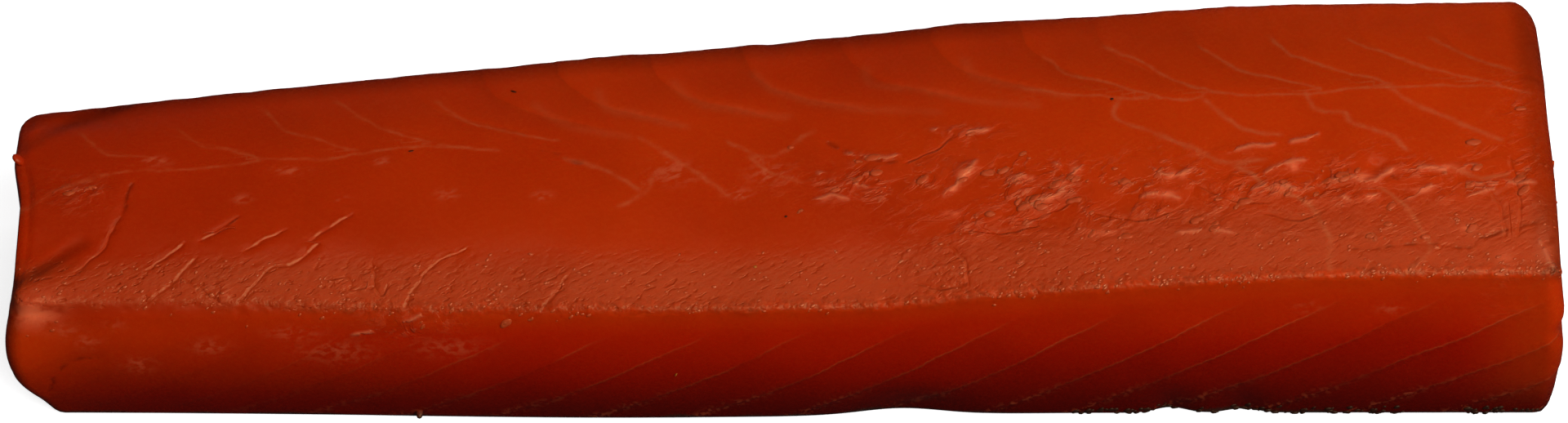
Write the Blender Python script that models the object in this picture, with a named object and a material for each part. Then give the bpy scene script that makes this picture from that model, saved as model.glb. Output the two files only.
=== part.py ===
"""A smoked salmon loin: one trimmed block of fish, modelled at its real size as one solid.

The loin lies along X, with the thick head end at +X and the narrow tail end at -X. Its straight
trimmed side looks along -Y, Z is up, and its flat underside rests on z = 0.

The skin of the block is one closed grid. Rings run round the block and stand side by side along
its length. Each ring is a section with a front side, a sharp front ridge, a crowned top, a soft
back shoulder, a back side and a flat underside. The rings shrink at both ends to close the block.
Relief is then pushed in or out along the surface normals: the grooves of the muscle segments,
creases, torn flakes, nibbles along the ridge, dents and gentle waves.
"""

import math

import bpy
import numpy as np
from mathutils import Vector, noise

MM = 0.001

# Driving sizes, in metres. The share along the loin runs from 0 at the tail to 1 at the head.
LENGTH = 205.6 * MM
TAIL_WIDTH = 35.9 * MM
HEAD_WIDTH = 50.8 * MM
TAPER_SHARE = 0.62
TAPER_POWER = 1.25
TAIL_RIDGE_HEIGHT = 21.8 * MM
HEAD_RIDGE_HEIGHT = 28.0 * MM
RIDGE_RISE_SHARES = (0.44, 0.92)
FRONT_FOOT_Y = -25.0 * MM
FOOT_BOW = 0.9 * MM
FOOT_BOW_X = -22.0 * MM
FOOT_BOW_REACH = 40.0 * MM

# The section's own shape.
CROWN_RISE = 2.7 * MM
CROWN_PLACE = 0.50
CROWN_POWER = 2.3
BACK_FALL = 1.9 * MM
FRONT_LEAN = 0.6 * MM
FRONT_BULGE = 1.4 * MM
BACK_BULGE = 1.0 * MM
BACK_UNDERCUT = 2.0 * MM
TAIL_RIDGE_RADIUS = 4.6 * MM
HEAD_RIDGE_RADIUS = 1.5 * MM
RIDGE_SHARPENS_SHARES = (0.10, 0.52)
SHOULDER_RADIUS = 3.4 * MM
FOOT_RADIUS = 1.2 * MM
END_RADIUS = 2.4 * MM
# The flat underside has straight edges a little way in from the foot, so that it stands steady.
FLAT_FRONT_Y = -22.6 * MM
FLAT_BACK_X = (-98.0 * MM, 25.0 * MM)
FLAT_BACK_Y = (8.5 * MM, 21.8 * MM)

# How far the end faces are set back. A SIDE or a RISE is the pair of places, across or up,
# between which a setback grows from nothing to its full depth.
TAIL_WAIST = 1.5 * MM
WAIST_SIDE = (2.0 * MM, -8.0 * MM)
LOBE_HEIGHT = 12.5 * MM
LOBE_HALF_HEIGHT = 6.5 * MM
LOBE_SIDE = (-16.5 * MM, -23.5 * MM)
TAIL_UNDERCUT = 3.4 * MM
UNDERCUT_RISE = (8.0 * MM, -1.0 * MM)
UNDERCUT_SIDE = (7.0 * MM, -21.0 * MM)
TAIL_CORNER = 0.6 * MM
TAIL_CORNER_SIDE = (8.0 * MM, 12.5 * MM)
HEAD_LEAN = 1.4 * MM
LEAN_RISE = (16.0 * MM, 27.0 * MM)
HEAD_CORNER = 1.2 * MM
HEAD_CORNER_SIDE = (20.0 * MM, 27.0 * MM)
HEAD_NOTCH = 0.9 * MM
NOTCH_HEIGHT = 17.0 * MM
NOTCH_HALF_HEIGHT = 1.8 * MM
NOTCH_SIDE = (-14.0 * MM, -22.0 * MM)
HEAD_FOOT = 0.5 * MM
HEAD_FOOT_RISE = (14.0 * MM, 0.0)
END_TRIM_START = 26.0 * MM
END_TRIM_FULL = 2.0 * MM

# How many points and rings the grid has.
FOOT_POINTS = 2
FRONT_POINTS = 8
RIDGE_POINTS = 4
TOP_POINTS = 22
SHOULDER_POINTS = 3
BACK_POINTS = 5
BODY_RINGS = 113
EDGE_RINGS = 3
FACE_RINGS = 5

# A sheet of connective tissue parts each muscle segment from the next, about every 12 mm. These
# are the places where the sheets meet the seam that runs along the top, in millimetres.
SHEET_MEETS = (
    -106, -94, -81.7, -69.9, -56.7, -44.8, -33.8, -19.1, -7.1, 6.1,
    17.6, 29.2, 37.1, 49.5, 56.5, 69.4, 80.2, 94.2, 106,
)
SHEET_PITCH = 11.8 * MM
# The seam's distance from the ridge, measured over the surface, at places along x.
SEAM_PLACES = (-105.0 * MM, -58.0 * MM, -7.0 * MM, 33.0 * MM, 58.0 * MM, 105.0 * MM)
SEAM_FROM_RIDGE = (19.8 * MM, 26.7 * MM, 32.0 * MM, 33.4 * MM, 31.0 * MM, 31.5 * MM)
# How a sheet sweeps along the loin as it runs over the surface, away from the seam.
SWEEP_BACK = 17.0 * MM
SWEEP_BACK_REACH = 6.5 * MM
BACK_SLOPE = 0.8
BACK_SLOPE_START = 16.0 * MM
SWEEP_KNEE = 14.0 * MM
SWEEP_KNEE_PLACE = 9.0 * MM
SWEEP_KNEE_POWER = 1.5
TOP_SLOPE = 0.9
# On the front side the sheets are straight and slanted, one of them this far along the ridge.
FRONT_SLOPE = 1.7
FRONT_PITCH = 14.0 * MM
FRONT_SHEET = 17
FRONT_SHEET_X = 93.0 * MM
FRONT_BLEND = 10.0 * MM
SHEET_CONE = 1.6
GROOVE_DEPTH = 0.22 * MM
GROOVE_HALF_WIDTH = 1.0 * MM
SHINGLE_STEP = 0.22 * MM

# Creases and tears of the top, as short routes in plan, in millimetres.
CREASES = (
    ((-86.6, -8.3), (-87.8, -11.6), (-89.0, -14.8), (-92.6, -18.4)),
    ((-77.4, -18.2), (-79.8, -20.5), (-83.6, -23.6)),
    ((-57.4, -10.4), (-62.3, -14.5), (-67.9, -19.0), (-70.2, -22.2), (-72.9, -24.3)),
    ((-73.3, -12.3), (-78.8, -15.2), (-82.5, -17.7), (-86.0, -20.3)),
    ((-42.1, -15.9), (-47.0, -19.5), (-50.2, -24.2)),
    ((-13.2, -2.0), (-17.0, -3.8), (-21.3, -8.3)),
    ((-6.5, 2.4), (-1.6, -0.4), (1.7, 2.6)),
    ((9.0, -0.9), (11.3, -0.4), (16.0, 2.4)),
    ((22.1, -7.3), (25.3, -4.9)),
    ((31.6, -11.9), (37.0, -9.2)),
    ((35.6, -7.6), (39.4, -3.3)),
    ((18.6, -17.1), (22.0, -18.6), (26.1, -16.2), (31.9, -15.3)),
    ((39.4, -16.3), (43.9, -15.9)),
    ((48.7, -5.9), (53.5, -6.8)),
    ((68.6, -11.9), (72.2, -17.5), (70.8, -22.3)),
    ((81.3, -14.1), (84.2, -19.7), (80.3, -24.1)),
    ((68.9, -10.4), (75.1, -9.0), (80.5, -7.5), (87.8, -6.9)),
    ((75.4, -12.9), (82.2, -10.8), (87.4, -9.2)),
    ((73.3, -19.6), (83.1, -19.8), (91.8, -18.0), (98.0, -16.4)),
)
CREASE_DEPTH = 0.28 * MM
CREASE_LIP = 0.20 * MM
LIP_OFFSET = 2.0 * MM
CREASE_HALF_WIDTH = 1.2 * MM

# Patches of torn flakes on the top: centre x, centre y, half length and half width.
FLAKE_PATCHES = (
    (81.0 * MM, -9.5 * MM, 18.0 * MM, 5.5 * MM),
    (38.0 * MM, -8.0 * MM, 16.0 * MM, 6.0 * MM),
    (16.0 * MM, 0.0 * MM, 13.0 * MM, 4.5 * MM),
    (58.0 * MM, -14.0 * MM, 20.0 * MM, 4.5 * MM),
)
FLAKE_HEIGHT = 0.4 * MM
FLAKE_SIZE = 3.2 * MM

# Dents (below zero) and swellings (above zero) of the top: x, y, half length, half width, height.
SWELLS = (
    (78.0 * MM, -7.2 * MM, 2.2 * MM, 1.6 * MM, -0.9 * MM),
    (-97.5 * MM, -15.5 * MM, 8.0 * MM, 3.6 * MM, -1.5 * MM),
    (-100.0 * MM, -23.0 * MM, 7.0 * MM, 4.0 * MM, 0.9 * MM),
    (-104.0 * MM, -5.0 * MM, 7.0 * MM, 9.0 * MM, -1.1 * MM),
    (-97.0 * MM, 8.5 * MM, 9.0 * MM, 2.2 * MM, -0.7 * MM),
    (-60.0 * MM, -8.0 * MM, 18.0 * MM, 8.0 * MM, -0.3 * MM),
    (20.0 * MM, -12.0 * MM, 30.0 * MM, 6.0 * MM, -0.25 * MM),
)

RIDGE_NIBBLE = 0.35 * MM
RIDGE_NIBBLE_LENGTH = 2.6 * MM
RIDGE_NIBBLE_REACH = 2.2 * MM
WAVE_HEIGHT = 0.30 * MM
WAVE_LENGTH = 17.0 * MM
# Relief fades out this far in from the edge of an end face, so that its pole stays smooth.
POLE_CALM_DEPTH = 4.0 * MM
# It also fades towards the underside, and the top's relief is kept to faces that look up.
FLOOR_CALM_RISE = (0.2 * MM, 3.0 * MM)
TOP_FACING = (0.45, 0.8)

# Hollows along the front foot, and dips along the ridge: place along x, half length and depth.
FOOT_HOLLOWS = (
    (15.5 * MM, 7.5 * MM, 1.15 * MM),
    (51.5 * MM, 2.8 * MM, 1.0 * MM),
    (61.0 * MM, 2.8 * MM, 0.75 * MM),
)
FOOT_HOLLOW_TOP = 9.0 * MM
RIDGE_DIPS = (
    (-50.0 * MM, 14.0 * MM, 0.5 * MM),
    (13.0 * MM, 9.0 * MM, 0.8 * MM),
)
RIDGE_DIP_REACH = 6.0 * MM

SALMON_COLOUR = (0.41, 0.034, 0.006, 1.0)
SALMON_ROUGHNESS = 0.42
SALMON_SUBSURFACE = 0.25


def clear_scene():
    for old in list(bpy.data.objects):
        bpy.data.objects.remove(old, do_unlink=True)


def smooth_step(value, low, high):
    """0 below low, 1 above high and a smooth ramp between; low may be above high."""
    t = np.clip((value - low) / (high - low), 0.0, 1.0)
    return t * t * (3.0 - 2.0 * t)


def bell(offset, half_width):
    return np.exp(-((offset / half_width) ** 2))


def noise_at(points, wavelength, seed):
    """Perlin noise from about -1 to 1 at each point; seed shifts the pattern."""
    shift = Vector((17.3 * seed, 5.1 * seed, 9.7 * seed))
    return np.array([noise.noise(Vector(p) / wavelength + shift) for p in points])


# ---- The section ----


def ridge_height(share):
    """Even along the tail half, then rising towards the head."""
    rise = smooth_step(share, *RIDGE_RISE_SHARES)
    return TAIL_RIDGE_HEIGHT + (HEAD_RIDGE_HEIGHT - TAIL_RIDGE_HEIGHT) * rise


def loin_width(share):
    """Full width along the head end, tapering towards the tail."""
    taper = max(0.0, 1.0 - share / TAPER_SHARE) ** TAPER_POWER
    return HEAD_WIDTH - (HEAD_WIDTH - TAIL_WIDTH) * taper


def foot_line(share):
    """The front foot's y, which bows outwards in the tail half."""
    return FRONT_FOOT_Y - FOOT_BOW * bell((share - 0.5) * LENGTH - FOOT_BOW_X, FOOT_BOW_REACH)


def arc(centre_y, centre_z, radius, start, end, count):
    """Points of an arc from the start angle to just before the end angle, in degrees."""
    steps = np.arange(count) / count
    angles = np.radians(start + (end - start) * steps)
    return [(centre_y + radius * math.cos(a), centre_z + radius * math.sin(a)) for a in angles]


def side(start, end, bulge, count):
    """Points of a side that bulges sideways, from the start to just before the end."""
    shares = np.arange(count) / count
    return [
        (start[0] + (end[0] - start[0]) * k + bulge * math.sin(math.pi * k),
         start[1] + (end[1] - start[1]) * k)
        for k in shares
    ]


def ridge_radius(share):
    """The front ridge is round at the tail and gets sharper towards the head."""
    sharp = smooth_step(share, *RIDGE_SHARPENS_SHARES)
    return TAIL_RIDGE_RADIUS + (HEAD_RIDGE_RADIUS - TAIL_RIDGE_RADIUS) * sharp


def section(share):
    """The loin's section at a share of its length, as (y, z) points from the front foot, up the
    front side, over the ridge and the top, down the back side and to the back foot."""
    foot = foot_line(share)
    height = ridge_height(share)
    back = FRONT_FOOT_Y + loin_width(share)
    radius = ridge_radius(share)
    ridge_y = foot + FRONT_LEAN + radius
    ridge_z = height - radius
    across = back - SHOULDER_RADIUS - ridge_y
    front_tilt = math.degrees(math.atan(CROWN_POWER * CROWN_RISE / (CROWN_PLACE * across)))
    back_tilt = math.degrees(math.atan(2.0 * BACK_FALL / ((1.0 - CROWN_PLACE) * across)))

    points = arc(foot + FOOT_RADIUS, FOOT_RADIUS, FOOT_RADIUS, 270, 180, FOOT_POINTS)
    points += side(
        (foot, FOOT_RADIUS), (foot + FRONT_LEAN, ridge_z), -FRONT_BULGE, FRONT_POINTS
    )
    points += arc(ridge_y, ridge_z, radius, 180, 90 + front_tilt, RIDGE_POINTS)

    tilt = math.radians(front_tilt)
    top_start = (ridge_y - radius * math.sin(tilt), ridge_z + radius * math.cos(tilt))
    shoulder_z = top_start[1] + CROWN_RISE - BACK_FALL
    shoulder_z -= SHOULDER_RADIUS * math.cos(math.radians(back_tilt))
    shoulder_y = back - SHOULDER_RADIUS
    top_end_y = shoulder_y + SHOULDER_RADIUS * math.sin(math.radians(back_tilt))
    for k in np.arange(TOP_POINTS) / TOP_POINTS:
        rise = CROWN_RISE
        if k < CROWN_PLACE:
            rise *= 1.0 - (1.0 - k / CROWN_PLACE) ** CROWN_POWER
        else:
            rise -= BACK_FALL * ((k - CROWN_PLACE) / (1.0 - CROWN_PLACE)) ** 2
        points.append((top_start[0] + (top_end_y - top_start[0]) * k, top_start[1] + rise))

    points += arc(shoulder_y, shoulder_z, SHOULDER_RADIUS, 90 - back_tilt, 0, SHOULDER_POINTS)
    back_foot_y = back - BACK_UNDERCUT
    points += side((back, shoulder_z), (back_foot_y, FOOT_RADIUS), BACK_BULGE, BACK_POINTS)
    points += arc(back_foot_y - FOOT_RADIUS, FOOT_RADIUS, FOOT_RADIUS, 0, -90, FOOT_POINTS)
    points.append((back_foot_y - FOOT_RADIUS, 0.0))
    return np.array(points)


def girth_from_ridge(points):
    """Each point's distance over the surface from the ridge, below zero down the front side."""
    steps = np.linalg.norm(np.diff(points, axis=0), axis=1)
    along = np.concatenate([[0.0], np.cumsum(steps)])
    ridge = FOOT_POINTS + FRONT_POINTS + RIDGE_POINTS // 2
    return along - along[ridge]


# ---- The ends ----


def tail_trim(y, z):
    """How far the tail's end face is set back at each place of the section. Its front side keeps
    a lobe that stands out, between a waist above it and an undercut below."""
    lobe = bell(z - LOBE_HEIGHT, LOBE_HALF_HEIGHT) * smooth_step(y, *LOBE_SIDE)
    waist = TAIL_WAIST * smooth_step(y, *WAIST_SIDE) * (1.0 - lobe)
    undercut = TAIL_UNDERCUT * smooth_step(z, *UNDERCUT_RISE) * smooth_step(y, *UNDERCUT_SIDE)
    return waist + undercut + TAIL_CORNER * smooth_step(y, *TAIL_CORNER_SIDE)


def head_trim(y, z):
    """The same for the head's end face, which leans back and has a notch in its front corner."""
    lean = HEAD_LEAN * smooth_step(z, *LEAN_RISE)
    notch = HEAD_NOTCH * bell(z - NOTCH_HEIGHT, NOTCH_HALF_HEIGHT) * smooth_step(y, *NOTCH_SIDE)
    foot = HEAD_FOOT * smooth_step(z, *HEAD_FOOT_RISE)
    return lean + notch + foot + HEAD_CORNER * smooth_step(y, *HEAD_CORNER_SIDE)


def stations():
    """Each ring's place along the loin before trimming, its inset and its shrink, tail to head.
    Face rings shrink towards the middle of an end, edge rings round the end's edge."""
    half = LENGTH / 2
    face = [(half, END_RADIUS, k / FACE_RINGS) for k in range(1, FACE_RINGS)]
    turns = [math.radians(90 * (1 - k / EDGE_RINGS)) for k in range(EDGE_RINGS)]
    edge = [
        (half - END_RADIUS + END_RADIUS * math.sin(t), END_RADIUS * (1 - math.cos(t)), 1.0)
        for t in turns
    ]
    end = face + edge
    inner = half - END_RADIUS
    body = [(x, 0.0, 1.0) for x in np.linspace(-inner, inner, BODY_RINGS)]
    tail = [(-x, inset, shrink) for x, inset, shrink in end]
    return np.array(tail + body + end[::-1])


def block_grid():
    """The bare block as rings of points, with each point's girth and depth below the skin."""
    places = stations()
    rings, girths, depths = [], [], []
    for x, inset, shrink in places:
        share = float(np.clip(x / LENGTH + 0.5, 0.0, 1.0))
        outline = section(share)
        low, high = outline.min(axis=0), outline.max(axis=0)
        centre, half = (low + high) / 2, (high - low) / 2
        moved = centre + (outline - centre) * (1.0 - inset / half) * shrink
        rings.append(np.column_stack([np.full(len(moved), x), moved]))
        girths.append(girth_from_ridge(outline))
        depths.append(np.full(len(moved), (1.0 - shrink) * half[1]))
    return np.array(rings), np.array(girths), np.array(depths)


def trim_ends(rings):
    """Moves the rings near each end to follow that end's trimmed face."""
    x, y, z = rings[..., 0], rings[..., 1], rings[..., 2]
    half = LENGTH / 2
    near_tail = smooth_step(x, END_TRIM_START - half, END_TRIM_FULL - half)
    near_head = smooth_step(x, half - END_TRIM_START, half - END_TRIM_FULL)
    moved = rings.copy()
    moved[..., 0] = x + near_tail * tail_trim(y, z) - near_head * head_trim(y, z)
    return moved


# ---- Relief ----


def sweep(across):
    """How far a sheet of tissue has run along the loin at a distance across from the seam. It
    runs back behind the seam, forward to a knee in front of it, and then back to the ridge."""
    behind = np.maximum(across, 0.0)
    before = np.maximum(-across, 0.0)
    back = -SWEEP_BACK * np.tanh(behind / SWEEP_BACK_REACH)
    back += BACK_SLOPE * np.maximum(behind - BACK_SLOPE_START, 0.0)
    knee = SWEEP_KNEE * np.minimum(before / SWEEP_KNEE_PLACE, 1.0) ** SWEEP_KNEE_POWER
    return back + knee - TOP_SLOPE * np.maximum(before - SWEEP_KNEE_PLACE, 0.0)


def segment_number(x, girth, depth):
    """A whole number on each sheet of tissue, running evenly from one sheet to the next."""
    across = girth - np.interp(x, SEAM_PLACES, SEAM_FROM_RIDGE)
    start = x - sweep(across) + SHEET_CONE * depth
    meets = np.array(SHEET_MEETS) * MM
    over_top = np.interp(start, meets, np.arange(len(meets)))
    over_top += np.minimum(start - meets[0], 0.0) / SHEET_PITCH
    over_top += np.maximum(start - meets[-1], 0.0) / SHEET_PITCH
    down_front = x - FRONT_SLOPE * girth + SHEET_CONE * depth
    down_front = FRONT_SHEET + (down_front - FRONT_SHEET_X) / FRONT_PITCH
    front_share = smooth_step(girth, FRONT_BLEND, 0.0)
    return over_top + (down_front - over_top) * front_share


def segment_relief(number):
    """A shallow groove on each sheet and a step up to the next segment, as laid shingles have."""
    past = number - np.floor(number)
    offset = np.minimum(past, 1.0 - past) * SHEET_PITCH
    return SHINGLE_STEP * (0.5 - past) - GROOVE_DEPTH * bell(offset, GROOVE_HALF_WIDTH)


def route_offsets(x, y, route):
    """Each point's distance in plan from a route, and how much of that lies straight across the
    route, above zero on its left."""
    nearest = np.full(x.shape, 1.0)
    across = np.full(x.shape, 1.0)
    corners = np.array(route) * MM
    for (ax, ay), (bx, by) in zip(corners[:-1], corners[1:]):
        dx, dy = bx - ax, by - ay
        along = np.clip(((x - ax) * dx + (y - ay) * dy) / (dx * dx + dy * dy), 0.0, 1.0)
        off_x, off_y = x - ax - along * dx, y - ay - along * dy
        distance = np.hypot(off_x, off_y)
        closer = distance < nearest
        nearest = np.where(closer, distance, nearest)
        across = np.where(closer, (dx * off_y - dy * off_x) / math.hypot(dx, dy), across)
    return nearest, across


def crease_relief(x, y):
    """Each crease is a narrow valley with a raised lip on its right."""
    total = np.zeros(x.shape)
    for route in CREASES:
        distance, across = route_offsets(x, y, route)
        from_lip = np.sqrt(distance**2 + LIP_OFFSET * (LIP_OFFSET + 2.0 * across))
        total -= CREASE_DEPTH * bell(distance, CREASE_HALF_WIDTH)
        total += CREASE_LIP * bell(from_lip, CREASE_HALF_WIDTH)
    return total


def flake_relief(points, x, y):
    """Torn flakes: ridged noise, kept to the patches."""
    patches = np.zeros(x.shape)
    for place_x, place_y, reach_x, reach_y in FLAKE_PATCHES:
        patch = bell((x - place_x) / reach_x, 1.0) * bell((y - place_y) / reach_y, 1.0)
        patches = np.maximum(patches, patch)
    crests = 1.0 - 2.0 * np.abs(noise_at(points, FLAKE_SIZE, 1))
    return FLAKE_HEIGHT * patches * crests.reshape(x.shape)


def swell_relief(x, y):
    return sum(
        height * bell((x - place_x) / reach_x, 1.0) * bell((y - place_y) / reach_y, 1.0)
        for place_x, place_y, reach_x, reach_y, height in SWELLS
    )


def hollows(x, places):
    """The sum of smooth hollows, each given as its place along x, its half length and depth."""
    return sum(depth * bell(x - place, reach) for place, reach, depth in places)


def outward_normals(rings):
    """Unit normals of the ring grid, pointing out of the block."""
    along = np.gradient(rings, axis=0)
    around = np.roll(rings, -1, axis=1) - np.roll(rings, 1, axis=1)
    normals = np.cross(along, around)
    lengths = np.linalg.norm(normals, axis=2, keepdims=True)
    return normals / np.maximum(lengths, 1e-12)


def add_relief(rings, girths, depths):
    """The block's rings with all relief pushed out along the normals; the underside stays flat."""
    x, y, z = rings[..., 0], rings[..., 1], rings[..., 2]
    points = rings.reshape(-1, 3)
    normals = outward_normals(rings)
    on_top = smooth_step(normals[..., 2], *TOP_FACING)
    off_floor = smooth_step(z, *FLOOR_CALM_RISE)
    off_pole = smooth_step(depths, POLE_CALM_DEPTH, 0.0)
    on_ridge = bell(girths, RIDGE_NIBBLE_REACH) * (depths == 0.0)

    relief = segment_relief(segment_number(x, girths, depths)) * off_floor * off_pole
    relief += on_top * (crease_relief(x, y) + flake_relief(points, x, y) + swell_relief(x, y))
    relief += RIDGE_NIBBLE * on_ridge * noise_at(points, RIDGE_NIBBLE_LENGTH, 2).reshape(x.shape)
    waves = noise_at(points, WAVE_LENGTH, 3).reshape(x.shape)
    relief += WAVE_HEIGHT * waves * off_floor * off_pole
    shaped = rings + normals * relief[..., None]

    near_foot = smooth_step(z, FOOT_HOLLOW_TOP, 0.0) * smooth_step(y, 0.0, FRONT_FOOT_Y)
    shaped[..., 1] += hollows(x, FOOT_HOLLOWS) * near_foot
    shaped[..., 2] -= hollows(x, RIDGE_DIPS) * bell(girths, RIDGE_DIP_REACH)
    shaped[..., 2] = np.maximum(shaped[..., 2], 0.0)
    flat = rings[:, 0, 2] == 0.0
    shaped[flat, 0, 1] = FLAT_FRONT_Y
    shaped[flat, -1, 1] = np.interp(shaped[flat, -1, 0], FLAT_BACK_X, FLAT_BACK_Y)
    return shaped


# ---- The solid ----


def grid_faces(ring_count, points_round):
    """Quads between neighbouring rings, and a fan of triangles to the pole of each end."""
    faces = []
    for ring in range(ring_count - 1):
        for point in range(points_round):
            following = (point + 1) % points_round
            a = ring * points_round + point
            b = ring * points_round + following
            faces.append((a, a + points_round, b + points_round, b))
    tail_pole = ring_count * points_round
    head_pole = tail_pole + 1
    last = (ring_count - 1) * points_round
    for point in range(points_round):
        following = (point + 1) % points_round
        faces.append((tail_pole, point, following))
        faces.append((head_pole, last + following, last + point))
    return faces


def salmon_material():
    material = bpy.data.materials.new("smoked_salmon")
    material.use_nodes = True
    shader = material.node_tree.nodes["Principled BSDF"]
    shader.inputs["Base Color"].default_value = SALMON_COLOUR
    shader.inputs["Roughness"].default_value = SALMON_ROUGHNESS
    shader.inputs["Metallic"].default_value = 0.0
    shader.inputs["Subsurface Weight"].default_value = SALMON_SUBSURFACE
    return material


def make_loin():
    """The whole loin, centred over the origin with its underside on z = 0."""
    rings, girths, depths = block_grid()
    rings = add_relief(trim_ends(rings), girths, depths)
    poles = [rings[0].mean(axis=0), rings[-1].mean(axis=0)]
    points = np.vstack([rings.reshape(-1, 3), poles])
    middle = (points.min(axis=0) + points.max(axis=0)) / 2
    points -= np.array([middle[0], middle[1], 0.0])

    mesh = bpy.data.meshes.new("salmon_loin")
    mesh.from_pydata(points.tolist(), [], grid_faces(len(rings), rings.shape[1]))
    mesh.validate()
    mesh.shade_smooth()
    mesh.materials.append(salmon_material())
    loin = bpy.data.objects.new("salmon_loin", mesh)
    bpy.context.scene.collection.objects.link(loin)
    return loin


def main():
    clear_scene()
    make_loin()


main()
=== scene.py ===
# %% [markdown]
# # A smoked salmon loin, built in cells
#
# The real thing is a trimmed block of smoked fish, about 206 mm long, with a wet, smooth skin of
# orange-red flesh, pale lines of fat where the muscle segments meet, a straight trimmed front
# side and a few torn flakes. First comes the frame: the solid model that every piece must fit.

# %% Load the frame
import math

import bpy
import numpy as np
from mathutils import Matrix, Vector


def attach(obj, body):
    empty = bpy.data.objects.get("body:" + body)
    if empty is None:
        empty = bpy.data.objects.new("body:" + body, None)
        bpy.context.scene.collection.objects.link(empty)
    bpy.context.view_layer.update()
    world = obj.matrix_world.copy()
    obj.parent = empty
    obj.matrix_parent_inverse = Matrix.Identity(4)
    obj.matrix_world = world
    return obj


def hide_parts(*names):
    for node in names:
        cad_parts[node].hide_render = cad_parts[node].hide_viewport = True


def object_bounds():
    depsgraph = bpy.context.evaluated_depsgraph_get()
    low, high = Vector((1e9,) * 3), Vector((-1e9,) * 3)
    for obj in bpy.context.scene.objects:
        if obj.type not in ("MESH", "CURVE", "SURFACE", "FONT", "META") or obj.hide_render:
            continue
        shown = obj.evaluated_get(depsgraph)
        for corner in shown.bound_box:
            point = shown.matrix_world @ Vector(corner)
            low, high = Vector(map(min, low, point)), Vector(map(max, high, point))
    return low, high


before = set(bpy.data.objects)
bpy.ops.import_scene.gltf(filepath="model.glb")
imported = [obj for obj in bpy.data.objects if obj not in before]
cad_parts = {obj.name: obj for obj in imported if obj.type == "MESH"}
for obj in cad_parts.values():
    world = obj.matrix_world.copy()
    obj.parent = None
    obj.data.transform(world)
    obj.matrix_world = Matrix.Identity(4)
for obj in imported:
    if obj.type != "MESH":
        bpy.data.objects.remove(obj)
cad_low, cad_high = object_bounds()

MM = 0.001
cad_size = cad_high - cad_low
print("the solid measures", [round(side / MM, 1) for side in cad_size], "mm")

# %% [markdown]
# ## Where the photograph was taken from
#
# The camera looks down at the front side at 48 degrees, from far away through a long lens. Many
# marks were measured in the photograph's pixels, so `in_picture` tells where a place on the loin
# falls in the picture, and a mark can be laid on the skin where it was seen.

# %% Camera
CAMERA_TURN, CAMERA_DISTANCE, CAMERA_LENS, SENSOR = math.radians(48.0), 850.0, 145.0, 36.0
PICTURE_WIDTH, PICTURE_HEIGHT = 1920, 518
AIM = np.array([0.0, 1.4, 12.0])
TO_CAMERA = np.array([0.0, -math.cos(CAMERA_TURN), math.sin(CAMERA_TURN)])
UP_IN_PICTURE = np.array([0.0, math.sin(CAMERA_TURN), math.cos(CAMERA_TURN)])


def in_picture(places):
    """The photograph's pixel under each place, in millimetres: across and down."""
    from_aim = places - AIM
    scale = PICTURE_WIDTH * CAMERA_LENS / SENSOR / (CAMERA_DISTANCE - from_aim @ TO_CAMERA)
    across, up = from_aim[..., 0] * scale, from_aim @ UP_IN_PICTURE * scale
    return PICTURE_WIDTH / 2 + across, PICTURE_HEIGHT / 2 - up


def add_object(name, data):
    """A new object of the scene."""
    new = bpy.data.objects.new(name, data)
    bpy.context.scene.collection.objects.link(new)
    return new


camera_data = bpy.data.cameras.new("camera")
camera_data.lens, camera_data.sensor_width = CAMERA_LENS, SENSOR
camera = add_object("camera", camera_data)
camera.location = (AIM + TO_CAMERA * CAMERA_DISTANCE) * MM
camera.rotation_euler = Vector(-TO_CAMERA).to_track_quat("-Z", "Y").to_euler()
bpy.context.scene.camera = camera
one_right = in_picture(np.array([1.0, 0.0, 28.0]))[0] - PICTURE_WIDTH / 2
print("one millimetre is about", round(float(one_right), 1), "pixels")

# %% [markdown]
# ## Small helpers for curves
#
# Almost every shape on food is a smooth ramp or a smooth bump, and two helpers draw them: `ramp`
# goes from 0 to 1 between two places, and `bell` is 1 in its middle. Both work on whole numpy
# arrays. Lengths stay in millimetres until the mesh is made, so the numbers are easy to read.

# %% Ramps and bells
def ramp(value, low, high):
    """0 at low, 1 at high and a smooth ramp between; low may be above high."""
    t = np.clip((value - low) / (high - low), 0, 1)
    return t * t * (3 - 2 * t)


def bell(offset, half_width=1):
    return np.exp(-((offset / half_width) ** 2))


def spot(x, y, place):
    """A soft oval spot: place gives its middle x, y and its half length and half width."""
    return bell((x - place[0]) / place[2]) * bell((y - place[1]) / place[3])


# %% [markdown]
# ## The section of the loin
#
# Cut across, the loin is a block with a ridge in front, a crowned top, a round back shoulder and
# a flat underside. The curve is worked out from named sizes, because each of them changes a
# little from the tail to the head, and one rule for the whole length keeps the sides smooth.

# %% The sizes that drive the section
LENGTH = 205.6
TAIL_WIDTH, HEAD_WIDTH = 35.9, 50.8
TAPER_SHARE, TAPER_POWER = 0.62, 1.25
TAIL_RIDGE, HEAD_RIDGE, RIDGE_RISE = 21.8, 28.0, (0.44, 0.92)
FRONT_FOOT_Y, FOOT_BOW, FOOT_BOW_X, FOOT_BOW_REACH = -25.0, 0.9, -22.0, 40.0
CROWN_RISE, CROWN_PLACE, CROWN_POWER, BACK_FALL = 2.7, 0.5, 2.3, 1.9
FRONT_LEAN, FRONT_BULGE, BACK_BULGE, BACK_UNDERCUT = 0.6, 1.4, 1.0, 2.0
TAIL_RIDGE_RADIUS, HEAD_RIDGE_RADIUS, RIDGE_SHARPENS = 4.6, 1.5, (0.10, 0.52)
SHOULDER_RADIUS, FOOT_RADIUS, END_RADIUS = 3.4, 1.2, 2.4
FLAT_FRONT_Y, FLAT_BACK_X, FLAT_BACK_Y = -22.6, (-98.0, 25.0), (8.5, 21.8)

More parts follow.
